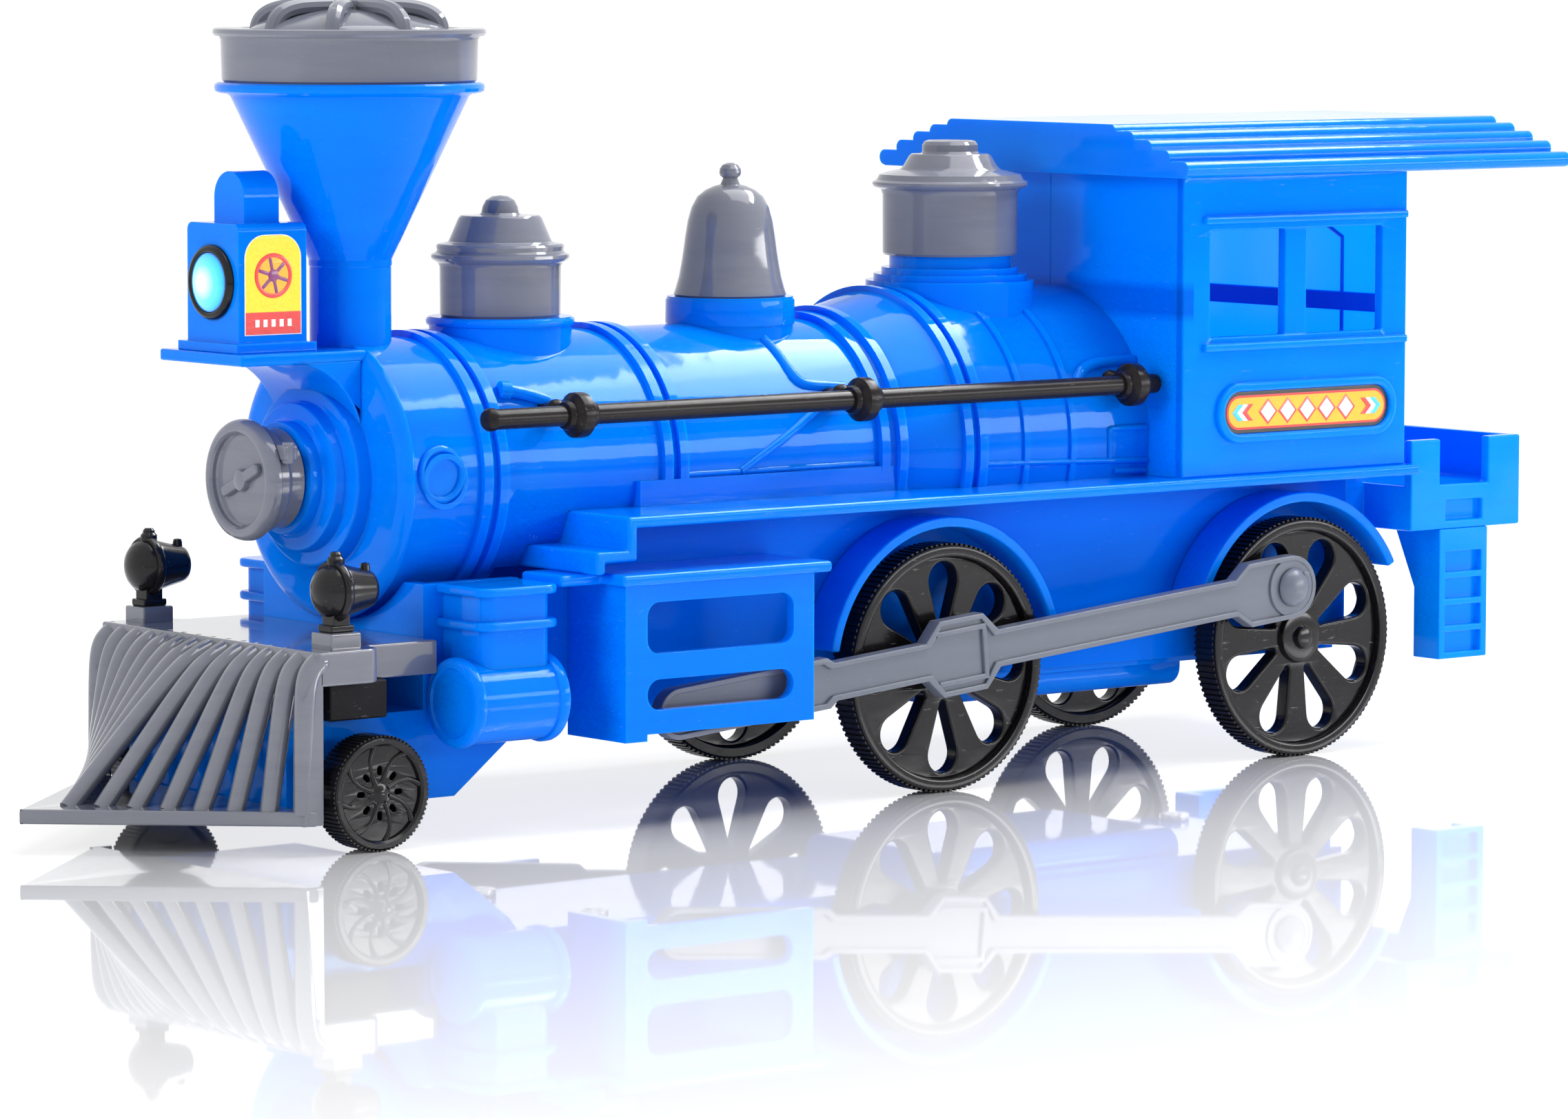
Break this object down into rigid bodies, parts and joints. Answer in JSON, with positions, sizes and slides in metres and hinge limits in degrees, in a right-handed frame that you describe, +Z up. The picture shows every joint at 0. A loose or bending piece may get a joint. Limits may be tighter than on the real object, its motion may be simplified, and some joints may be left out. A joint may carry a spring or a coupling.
{
  "type": "toy train locomotive",
  "caption": "Toy steam locomotive with funnel, domes, cab with roof, pilot grille, rolling spoked wheels and side rods driven by cranks on the rear wheels.",
  "frame": {"origin": "on the floor under the middle of the overall length and width", "axes": "+X forward along the locomotive, +Y to its left side, +Z up"},
  "size_m": [0.243, 0.0662, 0.1079],
  "materials": {
    "blue": "glossy, slightly translucent moulded polypropylene",
    "grey": "satin moulded plastic",
    "grey_rod": "matt moulded plastic",
    "black": "satin moulded plastic",
    "label": "printed label",
    "lens": "clear glossy pale blue",
    "steel": "plain zinc plated"
  },
  "bodies": {
    "locomotive": {"boiler_left": "blue", "boiler_right": "blue", "smokebox_front": "blue", "smokebox_door": "grey", "headlamp_box": "blue", "headlamp_bezel": "black", "headlamp_lens": "lens", "headlamp_label_left": "label", "headlamp_label_right": "label", "smokestack": "blue", "stack_cap": "grey", "sand_dome": "grey", "bell": "grey", "steam_dome": "grey", "handrail_left": "black", "handrail_right": "black", "running_board": "blue", "side_frame_left": "blue", "side_frame_right": "blue", "splasher_front_left": "blue", "splasher_front_right": "blue", "splasher_rear_left": "blue", "splasher_rear_right": "blue", "guide_box_left": "blue", "guide_box_right": "blue", "guide_shelf_left": "blue", "guide_shelf_right": "blue", "cylinder_left": "blue", "cylinder_right": "blue", "front_frame": "blue", "pilot": "grey", "bolster": "black", "marker_lamp_left": "black", "marker_lamp_right": "black", "cab_left": "blue", "cab_right": "blue", "cab_roof": "blue", "sign_plate_left": "label", "sign_plate_right": "label", "ballast": "steel", "rear_platform": "blue", "ladder_left": "blue", "ladder_right": "blue", "belly": "blue", "base_cover": "blue", "base_screws": "steel"},
    "front_wheelset": {"drive_wheel_front_left": "black", "drive_wheel_front_right": "black", "drive_axle_front": "steel"},
    "rear_wheelset": {"drive_wheel_rear_left": "black", "drive_wheel_rear_right": "black", "drive_axle_rear": "steel", "crank_pin_left": "grey_rod", "crank_pin_right": "grey_rod"},
    "lead_wheelset": {"lead_wheel_left": "black", "lead_wheel_right": "black", "lead_axle": "steel"},
    "rod_left": {"side_rod_left": "grey_rod"},
    "rod_right": {"side_rod_right": "grey_rod"}
  },
  "joints": [
    {"name": "front_wheels_roll", "type": "hinge", "parent": "locomotive", "child": "front_wheelset", "pos_m": [-0.0112, 0, 0.017], "axis": [0, 1, 0], "continuous": true},
    {"name": "rear_wheels_roll", "type": "hinge", "parent": "locomotive", "child": "rear_wheelset", "pos_m": [-0.0771, 0, 0.017], "axis": [0, 1, 0], "continuous": true},
    {"name": "leading_wheels_roll", "type": "hinge", "parent": "locomotive", "child": "lead_wheelset", "pos_m": [0.0837, 0, 0.00743], "axis": [0, 1, 0], "continuous": true},
    {"name": "side_rod_left_turn", "type": "hinge", "parent": "rear_wheelset", "child": "rod_left", "pos_m": [-0.0718, 0.0251, 0.0247], "axis": [0, 1, 0], "continuous": true},
    {"name": "side_rod_right_turn", "type": "hinge", "parent": "rear_wheelset", "child": "rod_right", "pos_m": [-0.0718, -0.0251, 0.0247], "axis": [0, 1, 0], "continuous": true}
  ],
  "couplings": [
    {"joint": "side_rod_left_turn", "follows": "rear_wheels_roll", "ratio": -1},
    {"joint": "side_rod_right_turn", "follows": "rear_wheels_roll", "ratio": -1}
  ]
}
